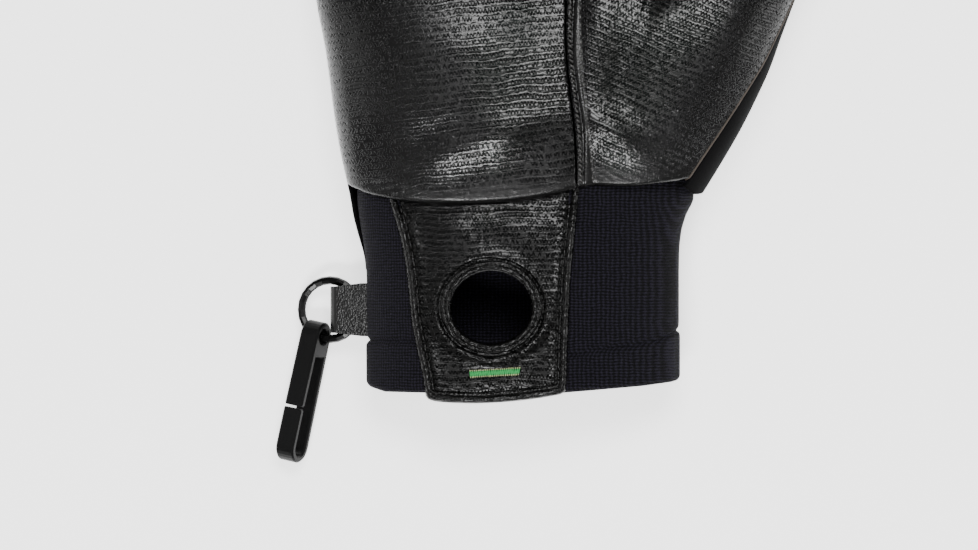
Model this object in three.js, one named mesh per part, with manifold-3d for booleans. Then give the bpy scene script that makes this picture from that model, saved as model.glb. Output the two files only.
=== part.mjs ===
// Climbing glove for the right hand, lying on the back of the hand with the palm up.
// X runs toward the thumb, Y toward the fingertips and Z up out of the palm.
// The origin is on the floor under the wrist, where the leather of the palm ends.
import * as THREE from 'three';
import { mergeVertices } from 'three/addons/utils/BufferGeometryUtils.js';
import Module from 'manifold-3d';

// Driving dimensions, in millimetres and degrees
const gap = 0.3;
const shellWall = 1.6;
const tabWall = 1.4;
const knitWall = 2.5;
const palmLength = 104;
const palmWidth = 100;
const palmHeight = 35;
const seamHeight = 15;
const fingerThickness = 22;
const fingerCurl = 12;
const thumbLength = 128;
const thumbWidth = 44;
const thumbThickness = 33;
const thumbAngle = 30;
const cuffWidth = 88;
const cuffHeight = 30;
const cuffLength = 54;
const cuffTuck = 7;
const turnedHem = 14;
const hemGroove = 0.7;
const tabLength = 56.6;
const tabWidth = 44;
const tabMiddle = -8.5;
const holeWidth = 22.5;
const holeHeight = 20.2;
const holeDown = 30;
const bindingWall = 1.1;
const bindingFlange = 2.9;
const bindingRise = 1.3;
const tackLength = 14.2;
const tackWidth = 2.2;
const tackRise = 0.9;
const tackDown = 48.2;
const tackTilt = 3;
const ringDiameter = 19;
const ringWire = 2.35;
const ringDown = 30.8;
const ringReach = 10.6;
const ringHeight = 6.6;
const ringDroop = 14;
const strapWidth = 15;
const strapWall = 1.4;
const hookLength = 40.5;
const hookBand = 5.8;
const hookDepth = 8.8;
const hookWall = 1.9;
const hookEye = 4.6;
const hookEyeWall = 1.7;
const hookSlit = 0.7;
const hookSwing = 12;
const hookRoll = 28;
const hookPlace = 30;

// The soft sections are a little squarer than ellipses
const roundness = 2.3;

// How finely the round forms are faceted
const bodySides = 32;
const fingerSides = 16;
const thumbSides = 22;
const ringSides = 8;
const ringTurns = 24;
const bindingTurns = 28;
const arcSteps = 7;
// Facets smaller than this are merged into their neighbours
const facetSize = 0.08;

const wasm = await Module();
wasm.setup();

const radians = THREE.MathUtils.degToRad;
const mix = THREE.MathUtils.lerp;
const ease = THREE.MathUtils.smoothstep;

// A closed three.js geometry as a solid that can be joined and cut
function solid(geometry) {
  const bare = new THREE.BufferGeometry();
  bare.setAttribute('position', geometry.getAttribute('position'));
  bare.setIndex(geometry.getIndex());
  const merged = mergeVertices(bare, 1e-4);
  return new wasm.Manifold(new wasm.Mesh({
    numProp: 3,
    vertProperties: new Float32Array(merged.getAttribute('position').array),
    triVerts: new Uint32Array(merged.getIndex().array),
    tolerance: facetSize,
  }));
}

// A solid back as a three.js geometry, with the slivers left by the cuts merged
function geometryOf(body) {
  const mesh = body.getMesh();
  const geometry = new THREE.BufferGeometry();
  geometry.setAttribute('position', new THREE.BufferAttribute(mesh.vertProperties, 3));
  geometry.setIndex(withoutSlivers(mesh.vertProperties, Array.from(mesh.triVerts)));
  return geometry;
}

// Draws the two ends of each very short edge together where the surface stays closed
function withoutSlivers(numbers, corners) {
  const point = (i) => new THREE.Vector3().fromArray(numbers, 3 * i);
  let triangles = [];
  for (let i = 0; i < corners.length; i += 3) triangles.push(corners.slice(i, i + 3));
  const tried = new Set();
  for (;;) {
    let short = null;
    for (const triangle of triangles) {
      for (let side = 0; side < 3 && !short; side += 1) {
        const from = triangle[side];
        const to = triangle[(side + 1) % 3];
        const known = tried.has(`${from} ${to}`);
        if (!known && point(from).distanceTo(point(to)) < facetSize) short = [from, to];
      }
      if (short) break;
    }
    if (!short) return triangles.flat();
    const [from, to] = short;
    tried.add(`${from} ${to}`);
    tried.add(`${to} ${from}`);
    const around = (i) => new Set(triangles.filter((t) => t.includes(i)).flat());
    const shared = [...around(from)].filter((i) => around(to).has(i));
    if (shared.length === 4) {
      triangles = triangles
        .map((triangle) => triangle.map((i) => (i === to ? from : i)))
        .filter(([a, b, c]) => a !== b && b !== c && c !== a);
    }
  }
}

// Triangles between rings of equal length, closed at both ends or back onto the first ring
function skin(rings, looped = false) {
  const sides = rings[0].length;
  const points = rings.flat();
  const index = [];
  const spans = looped ? rings.length : rings.length - 1;
  for (let row = 0; row < spans; row += 1) {
    const next = (row + 1) % rings.length;
    for (let side = 0; side < sides; side += 1) {
      const turn = (side + 1) % sides;
      const a = row * sides + side;
      const b = next * sides + side;
      const c = row * sides + turn;
      const d = next * sides + turn;
      index.push(a, b, c, c, b, d);
    }
  }
  if (!looped) {
    const last = (rings.length - 1) * sides;
    const firstMiddle = points.length;
    const average = (ring) => ring.reduce((sum, p) => sum.add(p), new THREE.Vector3()).divideScalar(sides);
    points.push(average(rings[0]), average(rings[rings.length - 1]));
    for (let side = 0; side < sides; side += 1) {
      const turn = (side + 1) % sides;
      index.push(firstMiddle, side, turn);
      index.push(firstMiddle + 1, last + turn, last + side);
    }
  }
  const geometry = new THREE.BufferGeometry();
  geometry.setFromPoints(points);
  geometry.setIndex(index);
  return geometry;
}

// A rounded cross-section about a middle point, flattened where it meets the floor
function sectionRing({ middle, across, half, up, down, floor, sides }) {
  const ring = [];
  for (let side = 0; side < sides; side += 1) {
    const angle = (2 * Math.PI * side) / sides;
    const c = Math.cos(angle);
    const s = Math.sin(angle);
    const width = Math.sign(c) * Math.abs(c) ** (2 / roundness) * half;
    const rise = Math.sign(s) * Math.abs(s) ** (2 / roundness) * (s > 0 ? up : down);
    const point = across.clone().multiplyScalar(width).add(middle);
    point.z = Math.max(point.z + rise, floor);
    ring.push(point);
  }
  return ring;
}

// A value read from a table at a place along it, on straight lines between the rows
function read(table, key, place, column) {
  const last = table.length - 1;
  if (place <= table[0][key]) return table[0][column];
  for (let row = 0; row < last; row += 1) {
    const from = table[row];
    const to = table[row + 1];
    if (place <= to[key]) {
      return mix(from[column], to[column], (place - from[key]) / (to[key] - from[key]));
    }
  }
  return table[last][column];
}

// The height of the seam that parts the palm side from the back, and of the finger and thumb middles
const fingerStart = 0.86 * palmLength;
const thumbBase = new THREE.Vector3(0.24 * palmWidth, 0, 0);
const thumbAlong = new THREE.Vector3(Math.sin(radians(thumbAngle)), Math.cos(radians(thumbAngle)), 0);
const thumbAcross = new THREE.Vector3(thumbAlong.y, -thumbAlong.x, 0);

function fingerMiddle(y) {
  const reach = Math.max(0, (y - fingerStart) / palmLength);
  const rooted = mix(seamHeight, 0.53 * fingerThickness, ease(y, 0.5 * palmLength, fingerStart));
  return rooted + fingerCurl * reach ** 1.5;
}

function thumbMiddle(along) {
  return seamHeight + 0.5 * fingerCurl * Math.max(0, along / thumbLength) ** 1.5;
}

function partingHeight(x, y) {
  const place = new THREE.Vector3(x, y, 0).sub(thumbBase);
  const along = place.dot(thumbAlong);
  const outward = place.dot(thumbAcross);
  const wrap = mix(1, 0.3, ease(along, 0.1 * thumbLength, 0.8 * thumbLength));
  const thumb = thumbMiddle(along) + wrap * Math.max(0, outward - 0.1 * thumbWidth);
  const beside = ease(x, 0.44 * palmWidth, 0.56 * palmWidth);
  const below = 1 - ease(y, 0.58 * palmLength, 0.78 * palmLength);
  return mix(fingerMiddle(y), thumb, Math.max(beside, below));
}

// The knitted cuff: half widths are shares of the cuff's width, heights of its height
const cuffSections = [
  { down: -0.13, left: 0.53, right: 0.545, high: 0.97 },
  { down: -0.02, left: 0.53, right: 0.547, high: 0.98 },
  { down: 0.08, left: 0.524, right: 0.522, high: 0.99 },
  { down: 0.16, left: 0.516, right: 0.508, high: 1 },
  { down: 0.27, left: 0.506, right: 0.501, high: 1 },
  { down: 0.4, left: 0.5, right: 0.5, high: 1 },
  { down: 1.1, left: 0.497, right: 0.5, high: 1 },
];
const hemTop = turnedHem - cuffLength;
const shellLow = -0.45 * cuffLength;

// How far the cuff reaches to each side and up, at a place along it
function cuffReach(y) {
  const place = -y / cuffLength;
  return {
    left: read(cuffSections, 'down', place, 'left') * cuffWidth,
    right: read(cuffSections, 'down', place, 'right') * cuffWidth,
    high: read(cuffSections, 'down', place, 'high') * cuffHeight,
  };
}

function cuffRing(y, grow, floor) {
  const { left, right, high } = cuffReach(y);
  return sectionRing({
    middle: new THREE.Vector3((right - left) / 2, y, seamHeight),
    across: new THREE.Vector3(1, 0, 0),
    half: (right + left) / 2 + grow,
    up: high + grow - seamHeight,
    down: seamHeight + 0.1 * cuffHeight - floor,
    floor,
    sides: bodySides,
  });
}

// The height of the cuff's palm side over a point, read from the same rounded section
function cuffTop(x, y) {
  const { left, right, high } = cuffReach(y);
  const share = Math.min(1, Math.abs(x - (right - left) / 2) / ((right + left) / 2));
  return seamHeight + (high - seamHeight) * (1 - share ** roundness) ** (1 / roundness);
}

// The smooth sleeve that the cuff, the tab and the lower edge of the shell all follow
function sleeve(grow, from, to, floor = 0) {
  const steps = 8;
  const rings = [];
  for (let step = 0; step <= steps; step += 1) {
    rings.push(cuffRing(mix(from, to, step / steps), grow, floor));
  }
  return solid(skin(rings));
}

// The hand: widths are shares of the palm's width, heights of its height
const palmSections = [
  { along: 0.13, left: 0.514, right: 0.49, high: 0.95, low: 1.2 },
  { along: 0.24, left: 0.533, right: 0.46, high: 1, low: 1.2 },
  { along: 0.4, left: 0.555, right: 0.43, high: 1, low: 1.2 },
  { along: 0.54, left: 0.582, right: 0.42, high: 0.96, low: 1.2 },
  { along: 0.72, left: 0.6, right: 0.42, high: 0.86, low: 1.1 },
  { along: 0.87, left: 0.595, right: 0.425, high: 0.76, low: 0.85 },
  { along: 0.95, left: 0.58, right: 0.42, high: 0.66, low: 0.7 },
  { along: 1.01, left: 0.55, right: 0.4, high: 0.52, low: 0.5 },
  { along: 1.03, left: 0.53, right: 0.38, high: 0.42, low: 0.35 },
];
const fingers = [
  { base: -0.47, start: 0.86, length: 0.587, width: 0.24, splay: -8 },
  { base: -0.215, start: 0.95, length: 0.76, width: 0.265, splay: -3 },
  { base: 0.045, start: 0.97, length: 0.827, width: 0.275, splay: 0.5 },
  { base: 0.3, start: 0.94, length: 0.721, width: 0.265, splay: 4 },
];
const fingerSections = [
  { along: -0.3, width: 0.96 },
  { along: 0, width: 1 },
  { along: 0.32, width: 0.96 },
  { along: 0.62, width: 0.94 },
  { along: 0.84, width: 0.88 },
  { along: 0.93, width: 0.74 },
  { along: 0.98, width: 0.5 },
  { along: 1, width: 0.24 },
];
const thumbSections = [
  { along: -0.03, width: 0.86, thickness: 0.9 },
  { along: 0.1, width: 1, thickness: 1 },
  { along: 0.25, width: 1.02, thickness: 1.06 },
  { along: 0.4, width: 0.97, thickness: 1.02 },
  { along: 0.52, width: 0.85, thickness: 0.88 },
  { along: 0.64, width: 0.74, thickness: 0.76 },
  { along: 0.8, width: 0.68, thickness: 0.7 },
  { along: 0.91, width: 0.6, thickness: 0.62 },
  { along: 0.965, width: 0.46, thickness: 0.48 },
  { along: 0.99, width: 0.3, thickness: 0.32 },
  { along: 1, width: 0.14, thickness: 0.16 },
];

function palmBody(inset) {
  const rings = [];
  const wristGrow = shellWall + gap - inset;
  const low = shellLow - (inset > 0 ? 1 : 0);
  for (const y of [low, 0.7 * low, 0.4 * low, 0]) rings.push(cuffRing(y, wristGrow, inset));
  for (const row of palmSections) {
    const left = row.left * palmWidth - inset;
    const right = row.right * palmWidth - inset;
    const closing = row.along > 1 ? inset : 0;
    rings.push(sectionRing({
      middle: new THREE.Vector3((right - left) / 2, row.along * palmLength - closing, fingerMiddle(row.along * palmLength)),
      across: new THREE.Vector3(1, 0, 0),
      half: (right + left) / 2,
      up: row.high * palmHeight - seamHeight - inset,
      down: row.low * seamHeight - inset,
      floor: inset,
      sides: bodySides,
    }));
  }
  return solid(skin(rings));
}

function fingerBody(finger, inset) {
  const along = new THREE.Vector3(Math.sin(radians(finger.splay)), Math.cos(radians(finger.splay)), 0);
  const across = new THREE.Vector3(along.y, -along.x, 0);
  const base = new THREE.Vector3(finger.base * palmWidth, finger.start * palmLength, 0);
  const rings = fingerSections.map((row) => {
    const closing = row.along > 0.9 ? inset : 0;
    const middle = base.clone().addScaledVector(along, row.along * finger.length * palmLength - closing);
    middle.z = fingerMiddle(middle.y);
    const half = (row.width * finger.width * palmWidth) / 2 - inset;
    const rise = (row.width * fingerThickness) / 2 - inset;
    return sectionRing({ middle, across, half, up: rise, down: rise, floor: inset, sides: fingerSides });
  });
  return solid(skin(rings));
}

function thumbBody(inset) {
  const rings = thumbSections.map((row) => {
    const closing = row.along > 0.9 ? inset : 0;
    const middle = thumbBase.clone().addScaledVector(thumbAlong, row.along * thumbLength - closing);
    middle.z = thumbMiddle(row.along * thumbLength);
    const rise = (row.thickness * thumbThickness) / 2 - inset;
    return sectionRing({
      middle,
      across: thumbAcross,
      half: (row.width * thumbWidth) / 2 - inset,
      up: rise,
      down: rise,
      floor: inset,
      sides: thumbSides,
    });
  });
  return solid(skin(rings));
}

function handBody(inset) {
  let hand = palmBody(inset).add(thumbBody(inset));
  for (const finger of fingers) hand = hand.add(fingerBody(finger, inset));
  return hand;
}

// A flat outline made into an upright block that reaches through the whole glove
function block(points) {
  const shape = new THREE.Shape(points);
  const depth = 4 * palmHeight;
  const geometry = new THREE.ExtrudeGeometry(shape, { depth, bevelEnabled: false });
  geometry.translate(0, 0, -depth / 2);
  return solid(geometry);
}

// Everything on the palm side of the parting seam, raised or lowered by half the gap
function palmSide(shift) {
  const step = 0.125 * palmLength;
  const low = new THREE.Vector2(-0.8 * palmWidth, -0.8 * palmLength);
  const columns = Math.ceil((2.1 * palmWidth) / step);
  const rows = Math.ceil((2.9 * palmLength) / step);
  const roof = 3 * palmHeight;
  const rings = [];
  for (let row = 0; row <= rows; row += 1) {
    const y = low.y + row * step;
    const ring = [];
    for (let column = columns; column >= 0; column -= 1) {
      const x = low.x + column * step;
      ring.push(new THREE.Vector3(x, y, partingHeight(x, y) + shift));
    }
    ring.push(new THREE.Vector3(low.x, y, roof));
    ring.push(new THREE.Vector3(low.x + columns * step, y, roof));
    rings.push(ring.reverse());
  }
  return solid(skin(rings));
}

// The double seam between palm and thumb, from below the wrist to the web beside the index finger
const thumbSeam = [
  [0.19, -0.4], [0.172, 0], [0.148, 0.215], [0.127, 0.38], [0.118, 0.54], [0.145, 0.65],
  [0.23, 0.72], [0.34, 0.745], [0.45, 0.74], [0.52, 0.86], [0.62, 1.5],
];
function thumbSide(shift) {
  const curve = new THREE.CatmullRomCurve3(
    thumbSeam.map(([x, y]) => new THREE.Vector3(x * palmWidth, y * palmLength, 0)),
  );
  const steps = 28;
  const points = [];
  for (let step = 0; step <= steps; step += 1) {
    const along = curve.getTangent(step / steps);
    const place = curve.getPoint(step / steps);
    points.push(new THREE.Vector2(place.x + along.y * shift, place.y - along.x * shift));
  }
  points.push(new THREE.Vector2(2 * palmWidth, 1.5 * palmLength));
  points.push(new THREE.Vector2(2 * palmWidth, -0.4 * palmLength));
  return block(points.reverse());
}

// The lower edge of the leather: it hangs lowest over the tab and rises toward both sides
const palmHem = [
  [-0.9, 0.04], [-0.49, 0.03], [-0.37, 0], [-0.2, -0.013], [0, -0.002], [0.18, 0.036], [0.3, 0.033],
  [0.43, 0.044], [0.9, 0.06],
];
function aboveHem(shift) {
  const line = palmHem.map(([x, y]) => new THREE.Vector2(x * palmWidth, y * palmLength + shift));
  line.push(new THREE.Vector2(1.5 * palmWidth, 2.5 * palmLength));
  line.push(new THREE.Vector2(-1.5 * palmWidth, 2.5 * palmLength));
  return block(line);
}

// The lower edge of the back fabric slants from the little finger's side up to the thumb's side
function aboveBackHem() {
  const leftEdge = new THREE.Vector2(-palmWidth, -0.42 * cuffLength);
  const thumbEdge = new THREE.Vector2(0.5 * palmWidth, 0.03 * cuffLength);
  return block([
    leftEdge,
    new THREE.Vector2(-0.44 * palmWidth, -0.36 * cuffLength),
    thumbEdge,
    new THREE.Vector2(2 * palmWidth, 0.03 * cuffLength),
    new THREE.Vector2(2 * palmWidth, 2.5 * palmLength),
    new THREE.Vector2(-palmWidth, 2.5 * palmLength),
  ]);
}

// An upright oval block through the palm side of the cuff
function holeBlock(grow) {
  const shape = new THREE.Shape();
  shape.absellipse(tabMiddle, -holeDown, holeWidth / 2 + grow, holeHeight / 2 + grow, 0, 2 * Math.PI);
  const depth = 2 * cuffHeight;
  const geometry = new THREE.ExtrudeGeometry(shape, { depth, bevelEnabled: false, curveSegments: bindingTurns });
  geometry.translate(0, 0, seamHeight);
  return solid(geometry);
}

// Lays a small flat piece on the palm side of the cuff, a given height above the knit
function layOnCuff(geometry, lift) {
  const place = geometry.getAttribute('position');
  for (let i = 0; i < place.count; i += 1) {
    const x = place.getX(i);
    const y = place.getY(i);
    place.setZ(i, place.getZ(i) + cuffTop(x, y) + lift);
  }
  return geometry;
}

function makeCuff() {
  const rows = [
    { y: cuffTuck, sink: 0 },
    { y: 0, sink: 0 },
    { y: -0.09 * cuffLength, sink: 0 },
    { y: -0.18 * cuffLength, sink: 0 },
    { y: -0.3 * cuffLength, sink: 0 },
    { y: shellLow - 1, sink: 0 },
    { y: -0.6 * cuffLength, sink: 0 },
    { y: hemTop + 1, sink: 0 },
    { y: hemTop, sink: hemGroove },
    { y: hemTop - 1.2, sink: 0 },
    { y: -0.92 * cuffLength, sink: 0 },
    { y: -0.975 * cuffLength, sink: 0.35 * knitWall },
    { y: -cuffLength, sink: 0.8 * knitWall },
  ];
  const floorAt = (y) => (y > shellLow - 2 ? shellWall + gap : 0);
  const outer = rows.map(({ y, sink }) => cuffRing(y, -sink, floorAt(y)));
  const inner = rows.map(({ y }, row) => {
    const past = row === 0 ? 1 : row === rows.length - 1 ? -1 : 0;
    return cuffRing(y + past, -knitWall - hemGroove, shellWall + gap + knitWall);
  });
  const wall = solid(skin(outer.reverse())).subtract(solid(skin(inner.reverse())));
  return geometryOf(wall.subtract(holeBlock(bindingWall + gap)));
}

// The tab's edges: shares of its width to each side of its middle, at shares of its length
const tabEdges = [
  { down: -0.1, left: 0.68, right: 0.56 },
  { down: 0.02, left: 0.65, right: 0.545 },
  { down: 0.2, left: 0.585, right: 0.525 },
  { down: 0.4, left: 0.54, right: 0.498 },
  { down: 0.6, left: 0.518, right: 0.482 },
  { down: 0.8, left: 0.47, right: 0.476 },
  { down: 0.94, left: 0.43, right: 0.47 },
];
const tabEnd = [[-0.425, 0.975], [-0.34, 0.992], [-0.14, 1], [0.1, 0.998], [0.3, 0.985], [0.44, 0.965]];

function makeTab() {
  const at = (share, down) => new THREE.Vector2(tabMiddle + share * tabWidth, -down * tabLength);
  const outline = [
    ...tabEdges.map((row) => at(-row.left, row.down)),
    ...tabEnd.map(([share, down]) => at(share, down)),
    ...tabEdges.map((row) => at(row.right, row.down)).reverse(),
  ];
  const low = -1.1 * tabLength;
  const layer = sleeve(gap + tabWall, low, 1).subtract(sleeve(gap, low - 1, 2));
  const tab = layer.intersect(block(outline)).intersect(palmSide(1));
  return geometryOf(tab.subtract(aboveHem(-gap)).subtract(holeBlock(bindingWall + gap)));
}

function makeBinding() {
  const seat = gap + tabWall + gap;
  const profile = [
    [0, -knitWall - 2 * hemGroove], [bindingWall, -knitWall - 2 * hemGroove], [bindingWall, seat],
    [bindingFlange, seat], [bindingFlange, seat + 0.5 * bindingRise], [0.8 * bindingFlange, seat + bindingRise],
    [0.3 * bindingFlange, seat + bindingRise], [0, seat + 0.5 * bindingRise],
  ];
  const rings = [];
  for (let turn = 0; turn < bindingTurns; turn += 1) {
    const angle = (2 * Math.PI * turn) / bindingTurns;
    rings.push(profile.map(([out, height]) => new THREE.Vector3(
      tabMiddle + Math.cos(angle) * (holeWidth / 2 + out),
      -holeDown + Math.sin(angle) * (holeHeight / 2 + out),
      height,
    )));
  }
  return layOnCuff(skin(rings, true), 0);
}

function makeTack() {
  const round = tackWidth / 2;
  const reach = tackLength / 2 - round;
  const edge = 0.3 * tackRise;
  const shape = new THREE.Shape();
  shape.absarc(-reach, 0, round, Math.PI / 2, 1.5 * Math.PI);
  shape.absarc(reach, 0, round, -Math.PI / 2, Math.PI / 2);
  const geometry = new THREE.ExtrudeGeometry(shape, {
    depth: tackRise - 2 * edge,
    bevelThickness: edge,
    bevelSize: edge,
    bevelOffset: -edge,
    bevelSegments: 1,
    curveSegments: 4,
  });
  geometry.translate(0, 0, edge);
  geometry.rotateZ(radians(tackTilt));
  geometry.translate(tabMiddle + 0.5, -tackDown, 0);
  return layOnCuff(geometry, gap + tabWall + gap);
}

// The ring lies low beside the cuff and droops away from it
const ringRound = (ringDiameter - ringWire) / 2;
const ringMiddle = new THREE.Vector3(-(cuffWidth / 2 + ringReach), -ringDown, ringHeight);
const ringPlace = new THREE.Matrix4()
  .makeRotationY(-radians(ringDroop))
  .setPosition(ringMiddle);

function makeRing(grow = 0) {
  const geometry = new THREE.TorusGeometry(ringRound, ringWire / 2 + grow, ringSides, ringTurns);
  return geometry.applyMatrix4(ringPlace);
}

// The strap goes through the ring, folds back on itself and is sewn into the side of the cuff
function makeStrap() {
  const inside = ringWire / 2 + gap;
  const outside = inside + strapWall;
  const fold = 0.3;
  const shape = new THREE.Shape();
  const root = ringReach + 0.1 * cuffWidth;
  shape.moveTo(root, -0.8 * strapWall);
  shape.lineTo(root, 0.8 * strapWall);
  shape.lineTo(ringRound + ringWire, outside);
  shape.lineTo(fold + outside, outside);
  shape.absarc(fold + outside, 0, outside, Math.PI / 2, 1.5 * Math.PI);
  shape.lineTo(ringRound + ringWire, -outside);
  const channel = new THREE.Path();
  channel.moveTo(fold + outside, inside);
  channel.lineTo(ringRound + 0.6 * ringWire, inside);
  channel.absarc(ringRound, 0, inside, 0.3 * Math.PI, -0.3 * Math.PI, true);
  channel.lineTo(fold + outside, -inside);
  channel.absarc(fold + outside, 0, inside, 1.5 * Math.PI, 0.5 * Math.PI, true);
  shape.holes.push(channel);
  const geometry = new THREE.ExtrudeGeometry(shape, { depth: 1, steps: 2, bevelEnabled: false, curveSegments: arcSteps });
  geometry.translate(0, 0, -0.5);
  geometry.rotateX(Math.PI / 2);
  const narrow = ringDiameter / 2 - ringWire - gap;
  const place = geometry.getAttribute('position');
  for (let i = 0; i < place.count; i += 1) {
    const open = ease(place.getX(i), outside, 1.6 * outside);
    place.setY(i, 2 * place.getY(i) * mix(narrow - 0.3, strapWidth / 2, open));
  }
  geometry.applyMatrix4(ringPlace);
  return geometryOf(solid(geometry).subtract(sleeve(gap, -cuffLength, 0)));
}

// The clip hook: an eye round the ring, and a long loop whose front arm is slit and springs inward
function makeHook() {
  const eyeRound = hookEye / 2 + hookEyeWall;
  const round = hookDepth / 2;
  const end = hookLength - eyeRound - round;
  const slit = 0.51 * hookLength;
  const neck = eyeRound + 0.6;
  const inner = round - hookWall;
  const shape = new THREE.Shape();
  shape.moveTo(-round, -slit);
  shape.lineTo(-eyeRound, 0);
  shape.absarc(0, 0, eyeRound, Math.PI, 0, true);
  shape.lineTo(round, -end);
  shape.absarc(0, -end, round, 0, -Math.PI, true);
  shape.lineTo(-round, -slit - hookSlit);
  shape.lineTo(-inner, -slit - hookSlit);
  shape.lineTo(-inner, -end);
  shape.absarc(0, -end, inner, -Math.PI, 0);
  shape.lineTo(eyeRound - hookWall, -neck - 0.8 * hookWall);
  shape.lineTo(-eyeRound + hookWall, -neck - 0.8 * hookWall);
  shape.lineTo(-inner, -slit);
  const eye = new THREE.Path();
  eye.absarc(0, 0, hookEye / 2, 0, 2 * Math.PI);
  shape.holes.push(eye);
  const edge = 0.08 * hookBand;
  const geometry = new THREE.ExtrudeGeometry(shape, {
    depth: hookBand - 2 * edge,
    bevelThickness: edge,
    bevelSize: edge,
    bevelOffset: -edge,
    bevelSegments: 1,
    curveSegments: arcSteps,
  });
  geometry.translate(0, 0, -hookBand / 2 + edge);
  const swing = radians(hookSwing);
  const roll = radians(hookRoll);
  const long = new THREE.Vector3(-Math.sin(swing), -Math.cos(swing), 0);
  const side = new THREE.Vector3(Math.cos(swing), -Math.sin(swing), 0);
  const band = side.clone().multiplyScalar(Math.cos(roll)).setZ(Math.sin(roll));
  const front = side.clone().multiplyScalar(-Math.sin(roll)).setZ(Math.cos(roll));
  const hold = radians(hookPlace);
  const eyePlace = new THREE.Vector3(-Math.sin(hold), -Math.cos(hold), 0).multiplyScalar(ringRound);
  eyePlace.applyMatrix4(ringPlace);
  const turn = new THREE.Matrix4().makeBasis(front.negate(), long.negate(), band).setPosition(eyePlace);
  return geometryOf(solid(geometry.applyMatrix4(turn)).subtract(solid(makeRing(gap))));
}

// Materials, with the colours of the finished glove
const leather = { color: 0x262626, roughness: 0.55, metalness: 0 };
const softShell = { color: 0x17171a, roughness: 0.9, metalness: 0 };
const knit = { color: 0x101016, roughness: 0.95, metalness: 0 };
const thread = { color: 0x1f9a3c, roughness: 0.6, metalness: 0 };
const plastic = { color: 0x0d0d0d, roughness: 0.4, metalness: 0 };
const lacquer = { color: 0x0a0a0a, roughness: 0.2, metalness: 0.2 };

const glove = new THREE.Group();

function addPiece(name, geometry, finish) {
  geometry.computeVertexNormals();
  const mesh = new THREE.Mesh(geometry, new THREE.MeshStandardMaterial(finish));
  mesh.name = name;
  glove.add(mesh);
}

const shell = handBody(0).subtract(handBody(shellWall));
const halfGap = gap / 2;
const palmFace = shell.intersect(palmSide(halfGap)).intersect(aboveHem(0));
const backFace = shell.subtract(palmSide(-halfGap)).intersect(aboveBackHem());

addPiece('palm_panel', geometryOf(palmFace.subtract(thumbSide(-halfGap))), leather);
addPiece('thumb_panel', geometryOf(palmFace.intersect(thumbSide(halfGap))), leather);
addPiece('back_shell', geometryOf(backFace), softShell);
addPiece('cuff', makeCuff(), knit);
addPiece('wrist_tab', makeTab(), leather);
addPiece('hole_binding', makeBinding(), leather);
addPiece('bar_tack', makeTack(), thread);
addPiece('strap_loop', makeStrap(), leather);
addPiece('ring', makeRing(), lacquer);
addPiece('clip_hook', makeHook(), plastic);

export default glove;
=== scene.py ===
"""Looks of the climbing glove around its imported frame: leather, soft shell, knit, stitches, ring and clip."""
import math

import bpy
import numpy as np
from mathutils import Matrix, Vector
from mathutils.bvhtree import BVHTree


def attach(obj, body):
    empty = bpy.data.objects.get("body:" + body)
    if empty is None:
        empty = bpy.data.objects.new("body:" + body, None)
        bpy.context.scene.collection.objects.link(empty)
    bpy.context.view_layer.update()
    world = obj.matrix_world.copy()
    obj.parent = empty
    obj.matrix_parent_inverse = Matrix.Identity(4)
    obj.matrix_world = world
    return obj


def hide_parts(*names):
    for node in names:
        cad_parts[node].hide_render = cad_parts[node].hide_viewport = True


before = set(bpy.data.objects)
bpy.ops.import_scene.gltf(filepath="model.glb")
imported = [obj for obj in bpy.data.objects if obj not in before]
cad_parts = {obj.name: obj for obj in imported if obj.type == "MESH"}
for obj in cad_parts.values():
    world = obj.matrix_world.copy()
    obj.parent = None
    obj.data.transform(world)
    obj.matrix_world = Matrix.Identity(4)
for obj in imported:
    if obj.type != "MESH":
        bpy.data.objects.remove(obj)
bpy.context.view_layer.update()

# Sizes in millimetres, as in the part's source
MM = 0.001
GAP = 0.3
SHELL_WALL = 1.6
TAB_WALL = 1.4
KNIT_WALL = 2.5
PALM_LENGTH = 104.0
PALM_WIDTH = 100.0
PALM_HEIGHT = 35.0
SEAM_HEIGHT = 15.0
FINGER_THICKNESS = 22.0
FINGER_CURL = 12.0
THUMB_LENGTH = 128.0
THUMB_WIDTH = 44.0
THUMB_THICKNESS = 33.0
THUMB_ANGLE = math.radians(30)
CUFF_WIDTH = 88.0
CUFF_HEIGHT = 30.0
CUFF_LENGTH = 54.0
CUFF_TUCK = 7.0
ROUNDNESS = 2.3
SHELL_LOW = -0.45 * CUFF_LENGTH

# Spacing of the fine meshes, and thickness of the sheets that dress the soft solids
HAND_STEP = 0.9
CUFF_STEP = 0.75
TAB_STEP = 0.4
LEATHER_SHEET = 1.3
TAB_SHEET = 1.2
WELL_INSIDE = 99.0  # the value of a field far from any edge

# How far the panels' edges roll under: at the parting, at the hem and at the seam
PALM_ROLL = (0.4, 1.6, 0.22)
THUMB_ROLL = (0.25, 1.6, 0.22)
BACK_ROLL = (0.6, 0.6)
RAW_EDGE_RADIUS = 0.3

# Rows of stitches: pitch, length, width and how far they stand proud
THUMB_STITCH = (2.4, 1.5, 0.65, 0.25)
RIDGE_STITCH = (1.4, 1.4, 0.6, 0.22)
TAB_STITCH = (2.6, 1.8, 0.6, 0.05)
RIM_STITCH = (2.3, 1.6, 0.55, 0.1)

# The photograph's frame, and how many millimetres one of its pixels covers
PHOTO_WIDTH = 978
PHOTO_HEIGHT = 550
PIXEL = 0.28
PHOTO_ORIGIN = (523.0, 200.0)
VIEW_TOP = 62.0  # fine relief ends here, just above the photograph's upper edge

# One source of chance for the small unevenness of the stitches
rng = np.random.default_rng(7)


def photo(*places):
    """Places in the photograph as millimetres on the glove."""
    return np.array([((x - PHOTO_ORIGIN[0]) * PIXEL, (PHOTO_ORIGIN[1] - y) * PIXEL) for x, y in places])


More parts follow.
